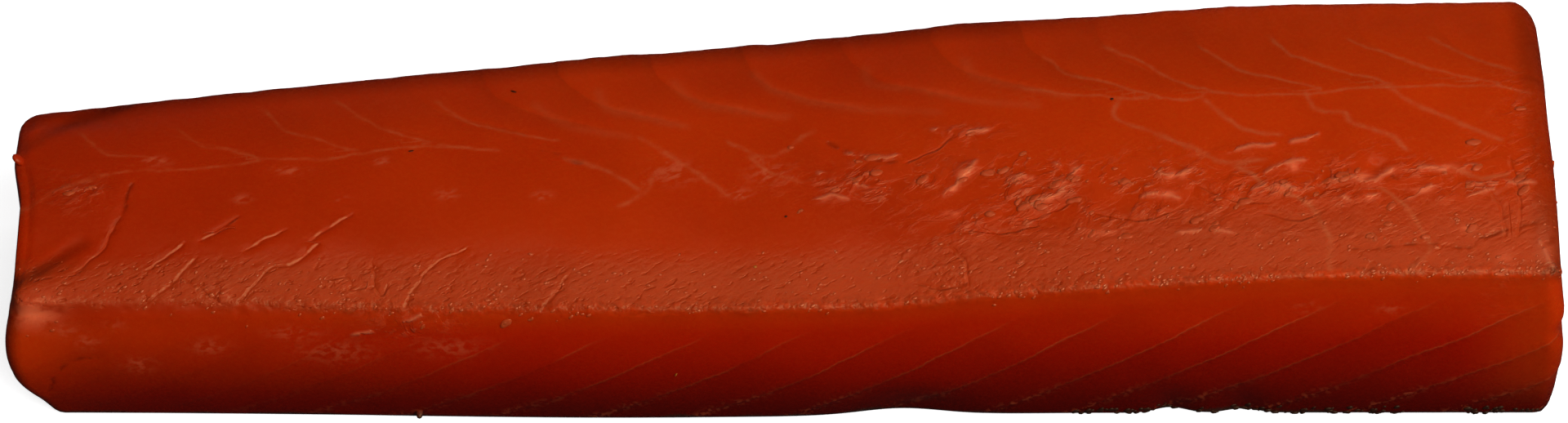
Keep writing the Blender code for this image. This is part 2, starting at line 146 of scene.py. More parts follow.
# How many points run round the section, part by part.
FOOT_POINTS, FRONT_POINTS, RIDGE_POINTS, TOP_POINTS = 3, 28, 12, 90
SHOULDER_POINTS, BACK_POINTS, FLOOR_POINTS = 8, 14, 8


# %% Draw one section
def arc(middle_y, middle_z, radius, start, end, count):
    """Points of an arc, in degrees, without its last one."""
    turns = np.radians(start + (end - start) * np.arange(count) / count)
    return np.column_stack([middle_y + radius * np.cos(turns), middle_z + radius * np.sin(turns)])


def side(start, end, bulge, count):
    """Points of a side that bulges, without its last one."""
    k = np.arange(count)[:, None] / count
    line = np.array(start) + (np.array(end) - np.array(start)) * k
    line[:, :1] += bulge * np.sin(math.pi * k)
    return line


def ridge_radius(share):
    sharper = ramp(share, *RIDGE_SHARPENS)
    return TAIL_RIDGE_RADIUS + (HEAD_RIDGE_RADIUS - TAIL_RIDGE_RADIUS) * sharper


def section(share):
    """The outline at a share of the length: front foot, ridge, top, back and underside."""
    radius = ridge_radius(share)
    foot = FRONT_FOOT_Y - FOOT_BOW * bell((share - 0.5) * LENGTH - FOOT_BOW_X, FOOT_BOW_REACH)
    height = TAIL_RIDGE + (HEAD_RIDGE - TAIL_RIDGE) * ramp(share, *RIDGE_RISE)
    taper = max(0, 1 - share / TAPER_SHARE) ** TAPER_POWER
    back = FRONT_FOOT_Y + HEAD_WIDTH - (HEAD_WIDTH - TAIL_WIDTH) * taper
    ridge_y, ridge_z = foot + FRONT_LEAN + radius, height - radius
    across = back - SHOULDER_RADIUS - ridge_y
    front_tilt = math.atan(CROWN_POWER * CROWN_RISE / (CROWN_PLACE * across))
    back_tilt = math.atan(2 * BACK_FALL / ((1 - CROWN_PLACE) * across))

    front_end_tilt = math.atan((FRONT_LEAN + math.pi * FRONT_BULGE) / ridge_z)
    front_end = (ridge_y - radius * math.cos(front_end_tilt),
                 ridge_z + radius * math.sin(front_end_tilt))

    top_start = ridge_y - radius * math.sin(front_tilt)
    top_z = ridge_z + radius * math.cos(front_tilt)
    shoulder_y = back - SHOULDER_RADIUS
    shoulder_z = top_z + CROWN_RISE - BACK_FALL - SHOULDER_RADIUS * math.cos(back_tilt)
    top_end = shoulder_y + SHOULDER_RADIUS * math.sin(back_tilt)
    # The points of the top stand closer together next to the ridge.
    even = np.arange(TOP_POINTS) / TOP_POINTS
    k = even * (0.7 + 0.3 * even)
    rise = CROWN_RISE * (1 - np.maximum(1 - k / CROWN_PLACE, 0) ** CROWN_POWER)
    rise -= BACK_FALL * (np.maximum(k - CROWN_PLACE, 0) / (1 - CROWN_PLACE)) ** 2
    top = np.column_stack([top_start + (top_end - top_start) * k, top_z + rise])

    back_foot = back - BACK_UNDERCUT
    floor_start, floor_end = back_foot - FOOT_RADIUS, foot + FOOT_RADIUS
    floor = np.linspace(floor_start, floor_end, FLOOR_POINTS, endpoint=False)
    return np.vstack([
        arc(foot + FOOT_RADIUS, FOOT_RADIUS, FOOT_RADIUS, 270, 180, FOOT_POINTS),
        side((foot, FOOT_RADIUS), front_end, -FRONT_BULGE, FRONT_POINTS),
        arc(ridge_y, ridge_z, radius, 180 - math.degrees(front_end_tilt),
            90 + math.degrees(front_tilt), RIDGE_POINTS),
        top,
        arc(shoulder_y, shoulder_z, SHOULDER_RADIUS, 90 - math.degrees(back_tilt), 0,
            SHOULDER_POINTS),
        side((back, shoulder_z), (back_foot, FOOT_RADIUS), BACK_BULGE, BACK_POINTS),
        arc(back_foot - FOOT_RADIUS, FOOT_RADIUS, FOOT_RADIUS, 0, -90, FOOT_POINTS),
        np.column_stack([floor, np.zeros(FLOOR_POINTS)]),
    ])


RIDGE_INDEX = FOOT_POINTS + FRONT_POINTS + RIDGE_POINTS // 2
FLOOR_INDEX = len(section(0.5)) - FLOOR_POINTS
print("points round the section:", len(section(0.5)))

# %% [markdown]
# ## The two ends
#
# Soft flesh doesn't stay flat where it is cut. The tail end has a waist, a lobe that stands out
# at the front and an undercut. The head end leans back, with one small notch. Each is a setback:
# how far the end face moves in at a place of the section.

# %% Setbacks of the end faces
def tail_setback(y, z):
    lobe = bell(z - 12.5, 6.5) * ramp(y, -16.5, -23.5)
    waist = 1.5 * ramp(y, 2, -8) * (1 - lobe)
    undercut = 3.4 * ramp(z, 8, -1) * ramp(y, 7, -21)
    return waist + undercut + 0.6 * ramp(y, 8, 12.5)


def head_setback(y, z):
    lean = 1.4 * ramp(z, 16, 27)
    notch = 0.9 * bell(z - 17, 1.8) * ramp(y, -14, -22)
    return lean + notch + 0.5 * ramp(z, 14, 0) + 1.2 * ramp(y, 20, 27)


# %% [markdown]
# ## A grid of rings
#
# Sections set side by side make one closed grid. At both ends the rings turn round a small
# radius and shrink to a pole, so the block has no open edge. Two numbers are kept for every
# point: its girth, the distance over the skin from the ridge, and its depth in an end face.

# %% Stand the sections side by side
BODY_RINGS, EDGE_RINGS, FACE_RINGS = 500, 6, 18


def ring_places():
    """Place along x, inset and shrink of each ring, from the tail to the head."""
    half = LENGTH / 2
    turns = np.radians(90 * (1 - np.arange(EDGE_RINGS) / EDGE_RINGS))
    end = [(half, END_RADIUS, k / FACE_RINGS) for k in range(1, FACE_RINGS)]
    end += [(half - END_RADIUS * (1 - math.sin(t)), END_RADIUS * (1 - math.cos(t)), 1)
            for t in turns]
    inner = half - END_RADIUS
    body = [(x, 0, 1) for x in np.linspace(-inner, inner, BODY_RINGS)]
    return [(-x, inset, shrink) for x, inset, shrink in end] + body + end[::-1]


def block_grid():
    rings, girths, depths = [], [], []
    for x, inset, shrink in ring_places():
        outline = section(min(max(x / LENGTH + 0.5, 0), 1))
        low, high = outline.min(axis=0), outline.max(axis=0)
        middle, half = (low + high) / 2, (high - low) / 2
        moved = middle + (outline - middle) * (1 - inset / half) * shrink
        rings.append(np.column_stack([np.full(len(moved), x), moved]))
        steps = np.linalg.norm(np.diff(outline, axis=0), axis=1)
        along = np.concatenate([[0], np.cumsum(steps)])
        girths.append(along - along[RIDGE_INDEX])
        depths.append(np.full(len(moved), (1 - shrink) * half[1]))
    return np.array(rings), np.array(girths), np.array(depths)


SOLID_SHIFT = np.array([0.05, 0.46, 0])
grid, girth, depth = block_grid()
# Views of the grid: x runs to the head, y to the back and z up.
x, y, z = np.moveaxis(grid, 2, 0)
# A setback begins 26 millimetres before the end and is full 2 millimetres before it.
near_tail, near_head = (ramp(way * x, LENGTH / 2 - 26, LENGTH / 2 - 2) for way in (-1, 1))
x += near_tail * tail_setback(y, z)
x -= near_head * head_setback(y, z)
outward = np.cross(np.gradient(grid, axis=0), np.roll(grid, -1, axis=1) - np.roll(grid, 1, axis=1))
outward /= np.maximum(np.linalg.norm(outward, axis=2, keepdims=True), 1e-9)
on_top = ramp(outward[..., 2], 0.45, 0.8)
seen = ramp(outward @ TO_CAMERA, 0.05, 0.25)
picture_x, picture_y = in_picture(grid + SOLID_SHIFT)
print("rings:", len(grid), "points:", x.size)

# %% [markdown]
# ## Muscle segments
#
# A fish's side muscle is a stack of bent sheets, like nested letters W on their sides, and each
# shows as one pale line. So every point of the skin gets one number, which is whole exactly on a
# sheet. The material draws a line wherever it is whole, and the relief puts a groove there.

# %% Number the segments
# Where the sheets meet the long seam of the top, and how far that seam runs from the ridge.
SHEET_MEETS = (
    -106, -94, -82.2, -70.4, -57.7, -46.5, -34.7, -24.4, -14.2, -1.9, 10.5, 24.5, 36.3, 48.2, 58.4,
    71.1, 81.7, 93.3, 104,
)
SHEET_PITCH, SHEET_CONE = 11.8, 1.6
# Where the sheets cross the front side, a little below the ridge.
CROSS_BELOW = 10
SHEET_CROSSES = (
    -112, -99, -87.5, -77.5, -66.8, -57, -45.9, -33.4, -20.8, -7.3, 6.3, 19.8, 33.8, 49, 61.9,
    75.5, 90.1, 104, 117,
)
FRONT_SLOPE = 1.7
SEAM_PLACES = (-105, -58, -7, 33, 58, 105)
SEAM_FROM_RIDGE = (19.8, 26.7, 32, 33.4, 31, 31.5)


def sweep(across):
    """How far a sheet has run along the loin at a distance across from the seam."""
    behind, before = np.maximum(across, 0), np.maximum(-across, 0)
    back = -17 * np.tanh(behind / 6.5) + 0.8 * np.maximum(behind - 16, 0)
    knee = 14 * np.minimum(before / 9, 1) ** 1.5
    return back + knee - 0.9 * np.maximum(before - 9, 0)


def count_sheets(start, places):
    """The number of the sheet that starts at a place, at an even pitch past the last ones."""
    number = np.interp(start, places, np.arange(len(places)))
    number += np.minimum(start - places[0], 0) / SHEET_PITCH
    return number + np.maximum(start - places[-1], 0) / SHEET_PITCH


seam_side = girth - np.interp(x, SEAM_PLACES, SEAM_FROM_RIDGE)
over_top = count_sheets(x - sweep(seam_side) + SHEET_CONE * depth, SHEET_MEETS)
down_front = count_sheets(
    x - FRONT_SLOPE * (girth + CROSS_BELOW) + SHEET_CONE * depth, SHEET_CROSSES)
segment = over_top + (down_front - over_top) * ramp(girth, 10, 0)
print("segments along the ridge:", round(np.ptp(segment[:, RIDGE_INDEX]), 1))

# %% [markdown]
# ## Creases, veins, cracks and tears
#
# Some marks follow no rule. Each is a short route of pixels measured in the photograph, and
# every point of the skin gets its distance to the nearest route. It is signed, because a line
# drawn at the zero of a signed number stays thin, while a plain distance turns into beads.

# %% Routes of the marks
# Each route is a row of pixels of the photograph: across, down, across, down and so on.
MARKS = {"crease": (
    (137, 284, 127, 302, 98, 326), (262, 283, 285, 270), (234, 322, 210, 347, 178, 372),
    (422, 264, 402, 277, 383, 291), (384, 301, 358, 322, 332, 328, 312, 348, 298, 364),
    (276, 280, 255, 291), (219, 304, 200, 316, 186, 326), (343, 286, 307, 302),
    (562, 307, 540, 318, 520, 333, 508, 350, 499, 366), (456, 328, 459, 345, 467, 358, 472, 352),
    (226, 342, 240, 354), (240, 350, 262, 366), (412, 340, 424, 337, 432, 345, 428, 352, 440, 350),
    (1118, 196, 1142, 186, 1160, 172), (1250, 268, 1285, 258, 1312, 244),
    (1195, 282, 1230, 284, 1262, 276), (1352, 262, 1392, 268, 1424, 262),
    (1480, 232, 1516, 246, 1546, 246), (1560, 262, 1590, 268, 1612, 262),
    (1820, 228, 1836, 250, 1842, 282), (1852, 200, 1862, 240, 1858, 280),
    (690, 345, 678, 358, 668, 372), (1165, 300, 1180, 318, 1184, 340),
    (1130, 345, 1150, 352, 1172, 350),
), "vein": (
    (1370, 125, 1365, 143, 1420, 163, 1450, 178, 1475, 187), (1478, 127, 1520, 157, 1560, 163),
    (1600, 120, 1610, 133, 1645, 137, 1655, 150, 1700, 163, 1720, 177),
    (1705, 110, 1735, 130, 1770, 143, 1785, 150, 1830, 167),
    (1470, 190, 1530, 210, 1555, 230, 1600, 247, 1620, 277, 1630, 295, 1627, 325),
    (1700, 235, 1730, 262, 1750, 300, 1740, 318, 1722, 333), (700, 195, 740, 208, 780, 230),
    (790, 172, 850, 210, 890, 235), (900, 175, 945, 192, 990, 165), (920, 193, 945, 212, 975, 220),
    (65, 230, 90, 224, 115, 217), (20, 262, 45, 245, 65, 232), (1475, 190, 1500, 200, 1540, 196),
    (1780, 205, 1810, 218, 1838, 214), (802, 214, 794, 232, 780, 243, 764, 250),
), "line": (
    (104, 169, 135, 190, 177, 193, 206, 200), (224, 161, 245, 177, 291, 185, 323, 193),
    (328, 140, 354, 161, 395, 172, 437, 183), (419, 130, 453, 151, 484, 164, 560, 181),
    (541, 130, 578, 152, 619, 162, 671, 170), (130, 213, 200, 209, 262, 204, 318, 195),
    (318, 193, 390, 193, 437, 187), (440, 187, 520, 179, 600, 184),
    (1285, 75, 1310, 90, 1370, 105, 1415, 118), (1360, 60, 1410, 83, 1450, 103, 1490, 114),
    (1477, 62, 1500, 77, 1520, 87, 1560, 97, 1610, 107), (1563, 52, 1580, 65, 1630, 83, 1710, 104),
    (1660, 52, 1700, 67, 1760, 85, 1830, 102), (1760, 50, 1800, 70, 1845, 84),
    (1260, 108, 1340, 118, 1460, 121, 1480, 113, 1510, 117, 1600, 117, 1640, 110, 1700, 107,
     1820, 105, 1862, 112),
), "band": (
    (663, 133, 690, 150, 710, 157, 760, 166), (735, 120, 745, 133, 780, 140, 830, 152),
    (830, 107, 855, 125, 900, 135, 955, 142), (930, 97, 950, 110, 990, 122, 1060, 133, 1140, 138),
    (1060, 90, 1070, 103, 1150, 115, 1200, 125, 1260, 129),
    (1185, 80, 1200, 93, 1230, 103, 1300, 116),
), "crack": (
    (60, 474, 75, 452, 95, 441, 115, 438), (665, 183, 682, 186, 702, 195),
    (1666, 304, 1705, 302, 1744, 299, 1796, 302, 1807, 291, 1838, 284, 1869, 276),
    (1018, 178, 1050, 192, 1085, 196), (1680, 212, 1690, 207, 1702, 213),
    (158, 232, 148, 262, 140, 277),
), "fold": (
    (14, 182, 50, 163, 95, 143, 150, 126), (20, 346, 52, 326, 92, 300),
), "tear": (
    (1010, 213, 1032, 219, 1055, 225), (1005, 243, 1018, 238, 1030, 240),
    (1045, 190, 1068, 193, 1092, 191), (1150, 161, 1175, 164, 1200, 161),
    (1160, 232, 1176, 215, 1190, 202), (1245, 219, 1262, 213, 1285, 223),
    (1260, 250, 1282, 240, 1302, 230), (1297, 204, 1310, 212, 1323, 199),
    (1415, 208, 1434, 214, 1455, 206), (1408, 238, 1422, 236, 1436, 240),
    (1541, 228, 1560, 222, 1580, 229), (1556, 208, 1574, 200, 1590, 196),
    (1625, 222, 1652, 215, 1676, 222, 1704, 208), (1650, 240, 1664, 243, 1680, 239),
    (1708, 208, 1744, 203, 1778, 207, 1800, 203), (1728, 239, 1738, 232, 1748, 228),
    (1806, 238, 1820, 233, 1836, 228), (1495, 187, 1522, 181, 1552, 177),
    (1588, 172, 1596, 170, 1606, 166), (440, 408, 462, 402, 486, 396, 520, 382),
    (1886, 300, 1896, 318, 1908, 330), (1450, 283, 1475, 279, 1500, 283),
    (1797, 226, 1830, 222, 1870, 222), (1740, 322, 1752, 312, 1765, 300),
)}


# %% Measure the distance to the routes
FAR, LOOK_ROUND = 50.0, 5.0
# A millimetre of the skin is 9.2 pixels of the photograph across and about 6.8 pixels down.
TO_SKIN = np.array([1 / 9.2, -1 / 6.8])
skin_x, skin_y = picture_x * TO_SKIN[0], picture_y * TO_SKIN[1]


def curve_through(route, steps=5):
    """Points of a smooth curve through the corners of a route."""
    p = np.array([route[0], *route, route[-1]])
    t = np.arange(steps)[:, None] / steps
    legs = [
        0.5 * (2 * b + (c - a) * t + (2 * a - 5 * b + 4 * c - d) * t**2
               + (3 * b - a - 3 * c + d) * t**3)
        for a, b, c, d in zip(p[:-3], p[1:-2], p[2:-1], p[3:])
    ]
    return np.vstack([*legs, p[-1:]])


def offsets(routes):
    """Distance over the skin, in millimetres, to the nearest route, and its part across it."""
    nearest, across = np.full((2, *seen.shape), FAR)
    for route in routes:
        curve = curve_through(np.reshape(route, (-1, 2)) * TO_SKIN)
        (low_x, low_y), (high_x, high_y) = curve.min(axis=0), curve.max(axis=0)
        close = (skin_x > low_x - LOOK_ROUND) & (skin_x < high_x + LOOK_ROUND)
        close &= (skin_y > low_y - LOOK_ROUND) & (skin_y < high_y + LOOK_ROUND) & (seen > 0)
        at_x, at_y, best, best_side = (k[close] for k in (skin_x, skin_y, nearest, across))
        for (ax, ay), (bx, by) in zip(curve[:-1], curve[1:]):
            dx, dy = bx - ax, by - ay
            along = ((at_x - ax) * dx + (at_y - ay) * dy) / (dx * dx + dy * dy)
            along = np.clip(along, 0, 1)
            off_x, off_y = at_x - ax - along * dx, at_y - ay - along * dy
            distance = np.hypot(off_x, off_y)
            closer = distance < best
            best = np.where(closer, distance, best)
            cross = (dx * off_y - dy * off_x) / math.hypot(dx, dy)
            best_side = np.where(closer, cross, best_side)
        nearest[close], across[close] = best, best_side
    return nearest, across


marks = {}
for kind, routes in MARKS.items():
    marks[kind + "_near"], marks[kind + "_side"] = offsets(routes)
print("routes:", {kind: len(routes) for kind, routes in MARKS.items()})

# %% [markdown]
# ## Where the flesh is torn, pitted or calm
#
# Flakes are torn in a few patches, the strip above the ridge is full of small pits, and the
# underside and the end faces' poles stay calm. Each of these is a mask, kept on the mesh as a
# named attribute for the nodes to read.

# %% Masks over the skin
# Ovals in pixels of the photograph: the middle across and down, half the length, half the width.
LOW_TEAR = (490, 393, 55, 14)
TORN_PATCHES = (
    LOW_TEAR, (100, 232, 42, 8), (1690, 235, 140, 42), (1560, 240, 150, 40), (1430, 225, 90, 34),
    (1270, 232, 80, 36), (1080, 222, 90, 26), (1170, 200, 60, 24), (1240, 280, 110, 22),
    (1840, 260, 50, 80), (1600, 280, 200, 15), (1190, 165, 60, 10), (1380, 265, 120, 24),
)
WRINKLED = (
    (260, 354, 50, 24), (430, 343, 45, 24), (530, 346, 50, 34), (660, 356, 60, 20),
    (1160, 320, 70, 34), (80, 235, 60, 22), (1850, 120, 24, 30), (1880, 230, 16, 70),
)
SHINES = ((40, 384, 32, 17), (1893, 306, 13, 22), (1842, 322, 9, 12))
# Pale smears on the front side, faint smudges on the top and painted glints on the torn flesh.
SMEARS = (
    (80, 405, 16, 9), (107, 418, 14, 8), (142, 396, 14, 6), (170, 446, 18, 8), (256, 424, 22, 8),
    (410, 430, 40, 12), (360, 408, 30, 8), (550, 425, 40, 10), (1602, 376, 16, 4),
    (1702, 377, 14, 5),
)
SMUDGES = (
    (548, 237, 12, 6), (665, 240, 11, 5), (905, 237, 15, 7), (420, 244, 8, 5), (297, 242, 10, 5),
    (825, 211, 26, 13), (943, 213, 24, 11), (356, 208, 18, 4), (468, 197, 10, 4),
    (190, 197, 14, 5),
)
GLINTS = (
    (1266, 218, 12, 4), (1291, 243, 11, 5), (1315, 206, 6, 7), (1300, 224, 6, 4),
    (1180, 213, 8, 5), (1167, 231, 6, 3), (1435, 214, 6, 5), (1447, 216, 5, 4), (1428, 237, 11, 4),
    (1176, 160, 20, 3), (1165, 261, 9, 3), (1349, 284, 16, 3), (1567, 231, 9, 3),
    (1585, 205, 5, 5), (1668, 216, 12, 4), (1704, 208, 10, 4), (1677, 242, 8, 4),
    (1772, 205, 12, 4), (1738, 233, 13, 3), (1798, 280, 8, 4),
)
# Ovals in millimetres of the plan, with a height as the last number.
SWELLS = (
    (78, -7.2, 1.3, 0.9, -0.5), (-97.5, -15.5, 9, 5, -0.9), (-100, -23, 7, 4, 0.9),
    (-104, -5, 7, 9, -1.1), (-97, 8.5, 9, 2.2, -0.7), (-60, -8, 18, 8, -0.3),
    (20, -12, 30, 6, -0.25),
)


def patches(places):
    return np.max([spot(picture_x, picture_y, place) for place in places], axis=0) * seen


torn = np.maximum(patches(TORN_PATCHES), 0.45 * patches(WRINKLED))
swell = sum(place[4] * spot(x, y, place) for place in SWELLS) * on_top
strip_width = np.interp(x, (-100, 10, 50, 100), (8, 10.5, 14.5, 15.5))
radius = ridge_radius(x / LENGTH + 0.5)
strip = ramp(girth, -radius, 0) * ramp(girth, strip_width, strip_width * 0.5)
strip *= ramp(depth, 0.8, 0)
calm = ramp(z, 0.2, 3) * ramp(depth, 4, 0)
off_top = ramp(girth, radius * 0.3, -radius)
behind_seam = ramp(seam_side, -1.5, 1.5)
right_part = ramp(x, 15, 60)
torn *= 1 - 0.6 * strip * right_part
line_fades = np.interp(x, (-100, 40), (6.5, 10.5))
line_strength = behind_seam * ramp(seam_side, line_fades, line_fades * 0.5) * 0.3
line_strength += ramp(girth, -3, -8) * ramp(x, -100, 0)
back_saw = behind_seam * ramp(seam_side, 18, 10) * ramp(x, -60, -30)
back_saw *= 1 - 0.6 * ramp(x, 30, 50)

LOBE_X, LOBE_Z = -104, 14

# How far down the front side a point lies, from 0 at the ridge to 1 at the foot, and how much
# painted shade darkens the flesh there. The lobe of the tail and the front corner of the head,
# which face the light, get less painted shade.
front_share = np.clip(-girth / np.maximum(-girth[:, :1], 1), 0, 1) * off_top
shade = ramp(front_share, 0.02 + 0.08 * right_part, 1.06) * off_top
lobe = bell(x - LOBE_X, 11) * bell(z - LOBE_Z, 10) * off_top
shade *= (1 - lobe) * (1 - 0.4 * ramp(x, 75, 100) * ramp(front_share, 0.95, 0.6))
shade *= 1 - 0.15 * ramp(x, 0, -80)
top_end = girth[:, FOOT_POINTS + FRONT_POINTS + RIDGE_POINTS + TOP_POINTS][:, None]
# Painted shade darkens the back shoulder and the head's top edge, which turn away from the light,
# and more lightly the right part behind the seam and the back half of the top.
back_edge = ramp(girth, top_end - 3.5, top_end + 1) * ramp(x, 60, 20)
head_edge = ramp(x, 96.5, 100.5) * ramp(z, 12, 16) * (1 - off_top)
edge_shade = np.maximum(back_edge, head_edge) + 0.2 * behind_seam * right_part

# The hidden back side is finished as the front is: its own sheets, and painted shade at its foot.
back_face = ramp(girth, top_end + 1.5, top_end + 5) * ramp(girth, top_end + 60, top_end + 50)
edge_shade = (edge_shade + 0.2 * ramp(girth, top_end * 0.6, top_end * 0.9)) * (1 - back_face)
line_strength += 0.8 * back_face
back_saw = np.maximum(back_saw, 1.4 * back_face)
shade += 0.5 * back_face * ramp(z, 15, 1)
# The flesh is brighter towards the head and about 43 millimetres tailward of the middle; painted
# light is added on the tail's lobe and front side.
tail_front = ramp(x, -55, -95) * off_top
brighter = ramp(x, -110, 100) + 0.35 * bell(x + 43, 25)
brighter += 0.6 * lobe + 0.5 * tail_front * ramp(front_share, 0.6, 0.1)
low_tail = ramp(x, -106, -80) * ramp(front_share, 0.4, 0.8)
deep_front = off_top * np.maximum(ramp(x, -100, -30), low_tail)
deep_front *= 1 - 0.8 * ramp(x, 88, 100)
deep_front *= 1 - (0.15 + 0.25 * right_part) * ramp(girth, -12, -4)
deep_front *= 1 - 0.7 * ramp(girth, -4.5, -0.5)
ridge_line = bell(girth - 0.4) * ramp(x, -85, -50) * seen
rim = bell(girth - top_end - 2, 3) + bell(x + 101.5, 1.6) * on_top
front_saw = ramp(girth, -2, -9) * (0.25 + 0.75 * ramp(x, -95, 20))

# A soft fold runs in from the tail's end, above its lobe, and painted shade darkens it. Painted
# highlights light the tail's left edge, the lobe's top and two spots of the head.
FOLD_MIDDLE_Y, FOLD_SLANT, FOLD_SPOT = 326, -1.35, (56, 334, 20, 23)
LIT_EDGE = (26, 250, 12, 90)
fold = spot(picture_x - (picture_y - FOLD_MIDDLE_Y) * FOLD_SLANT, picture_y, FOLD_SPOT) * seen
above_lobe = ramp(picture_y, 180, 230) * ramp(picture_y, 345, 300)
fold += 0.35 * ramp(picture_x, 60, 25) * above_lobe * seen
lobe_shine = patches(SHINES) * (1 - 0.5 * ramp(x, 0, 50))
edge_shade = edge_shade + 0.75 * fold - 0.7 * patches([LIT_EDGE])

# Oil beads stand on the ridge and the strip, scraps on the torn flesh, a fringe at the foot.
ridge_band = bell(girth - radius * 0.15, 0.6) * ramp(x, -75, -30)
bead_room = (0.16 * strip + ridge_band + 0.4 * lobe_shine) * seen
lobe_shine = lobe_shine + 0.9 * patches(GLINTS)
stipple = ramp(front_share, 0.55, 0.85) * ramp(x, -90, -20)
smears = 1.3 * patches(SMEARS) * off_top + 2 * patches(SMUDGES)
scrap_room = (0.5 * patches(TORN_PATCHES) + bell(marks["tear_near"])) * ramp(girth, 1, 4)
scrap_room += 0.5 * patches([LOW_TEAR])
fringe_room = bell(z - 1, 0.5) * ramp(x, 35, 45)
fringe_room *= ramp(y, -18, -23) * ramp(x, 102.5, 100)

# The end faces are plain cuts. The marks of the sides fade out there, and the sheets of tissue
# show as nested rings instead.
cap = ramp(depth, 0.2, 2.5)
for mask in (shade, edge_shade, deep_front, front_saw, back_saw, line_strength, ridge_line, torn):
    mask *= 1 - cap
# Painted shade darkens the end faces towards the foot.
shade += 0.45 * cap * ramp(z, 22, 2)
deep_front += 0.4 * cap
RING_PITCH, RING_Y, RING_Z, RING_HIGH = 4.2, 6, 9, 1.3
cap_rings = np.hypot(y - RING_Y, RING_HIGH * (z - RING_Z)) / RING_PITCH
print("share of the skin that is torn:", round(float(torn.mean()), 3))

# %% [markdown]
# ## The plain block as a mesh
#
# The grid becomes a mesh: quads between rings and a fan of triangles at each pole. The numbers
# worked out so far ride on it as point attributes. The fine relief comes in a later step, from a
# node tree that can be turned up or down like a knob.

# %% Make the mesh and its attributes
def grid_faces(ring_count, points_round):
    ring, point = np.meshgrid(np.arange(ring_count - 1), np.arange(points_round), indexing="ij")
    a = ring * points_round + point
    b = ring * points_round + (point + 1) % points_round
    faces = np.stack([a, a + points_round, b + points_round, b], axis=-1).reshape(-1, 4).tolist()
    tail_pole, last = ring_count * points_round, (ring_count - 1) * points_round
    for k in range(points_round):
        after = (k + 1) % points_round
        faces += [(tail_pole, k, after), (tail_pole + 1, last + after, last + k)]
    return faces


# Place along the loin, reach and depth of the hollows of the front foot and the dips of the ridge.
FOOT_HOLLOWS = ((15.5, 7.5, 1.15), (51.5, 2.8, 1), (61, 2.8, 0.75))
RIDGE_DIPS = ((-50, 14, 0.5), (13, 9, 0.8))
near_foot = ramp(z, 9, 0) * ramp(y, 0, FRONT_FOOT_Y)
for place, reach, deep in FOOT_HOLLOWS:
    y += deep * bell(x - place, reach) * near_foot
for place, reach, deep in RIDGE_DIPS:
    z -= deep * bell(x - place, reach) * bell(girth, 6)
# The flat of the underside lies between the solid's own front and back edges.
flat = grid[:, 0, 2] == 0
flat_back = np.interp(grid[flat, FLOOR_INDEX, 0], FLAT_BACK_X, FLAT_BACK_Y)
for k in range(FLOOR_POINTS + 1):
    column = (FLOOR_INDEX + k) % grid.shape[1]
    grid[flat, column, 1] = flat_back + (FLAT_FRONT_Y - flat_back) * k / FLOOR_POINTS


def with_poles(values):
    """One value for each grid point, then the mean of the first and of the last ring."""
    flat_values = values.reshape(values.shape[0] * values.shape[1], -1)
    ends = np.array([values[0].mean(axis=0), values[-1].mean(axis=0)]).reshape(2, -1)
    return np.vstack([flat_values, ends])


# On the end faces the girth is made large, so that nothing of the ridge is drawn there.
END_GIRTH = 100
points = (with_poles(grid) + SOLID_SHIFT) * MM
block_mesh = bpy.data.meshes.new("plain_block")
block_mesh.from_pydata(points.tolist(), [], grid_faces(*grid.shape[:2]))
for name, values in dict(
    marks, segment=segment, girth=girth + END_GIRTH * cap, cap=cap, cap_rings=cap_rings, torn=torn,
    smears=smears, swell=swell, strip=strip, calm=calm, off_top=off_top, shade=shade, seen=seen,
    line_strength=line_strength, front_saw=front_saw, back_saw=back_saw, edge_shade=edge_shade,
    brighter=brighter, deep_front=deep_front, stipple=stipple, lobe_shine=lobe_shine,
    tail_front=tail_front, ridge_line=ridge_line, rim=rim, bead_room=bead_room,
    scrap_room=scrap_room, fringe_room=fringe_room,
).items():
    layer = block_mesh.attributes.new(name, "FLOAT", "POINT")
    layer.data.foreach_set("value", with_poles(values).astype(np.float32).ravel())
block_mesh.shade_smooth()
block = add_object("plain_block", block_mesh)
print("plain block:", len(block_mesh.polygons), "faces")

# %% [markdown]
# ## Node trees, written like sums
#
# Node trees can be built from a script, but a chain of Math nodes is hard to read as code. The
# small class below wraps one output of a tree, so that `a * 2 + b` adds the right Math nodes. It
# works for Geometry Nodes and for materials alike.

# %% A field is one output of a tree
def plug(tree, value, socket):
    """Links a field to a socket, or sets the socket's own value."""
    if isinstance(value, Field):
        tree.links.new(value.socket, socket)
    else:
        socket.default_value = value


def fill(tree, node, sockets):
    """Values or links for a node's sockets, each by its name or its number."""
    for name, value in sockets.items():
        plug(tree, value, node.inputs[name])


def node_of(tree, kind, sockets, **settings):
    """A new node with its sockets and settings."""
    node = tree.nodes.new(kind)
    for name, value in settings.items():
        setattr(node, name, value)
    fill(tree, node, sockets)
    return node


def field_of(tree, kind, sockets={}, output=0, **settings):
    """One output of a new node, by its number or its name."""
    return Field(tree, node_of(tree, kind, sockets, **settings).outputs[output])


class Field:
    def __init__(self, tree, socket):
        self.tree, self.socket = tree, socket

    def math(self, operation, *others):
        inputs = dict(enumerate((self, *others)))
        return field_of(self.tree, "ShaderNodeMath", inputs, operation=operation)

    def __add__(self, other):
        return self.math("ADD", other)

    def __sub__(self, other):
        return self.math("SUBTRACT", other)

    def __mul__(self, other):
        return self.math("MULTIPLY", other)

    def __truediv__(self, other):
        return self.math("DIVIDE", other)

    def __rsub__(self, other):
        return self * -1.0 + other

    def __rtruediv__(self, other):
        return self.math("POWER", -1.0) * other

    __radd__, __rmul__ = __add__, __mul__

    def bell(self, half_width):
        scaled = self / half_width
        return (scaled * scaled * -1.0).math("EXPONENT")

    def ramp(self, low, high):
        return field_of(self.tree, "ShaderNodeMapRange", {
            "Value": self, "From Min": low, "From Max": high}, interpolation_type="SMOOTHSTEP")


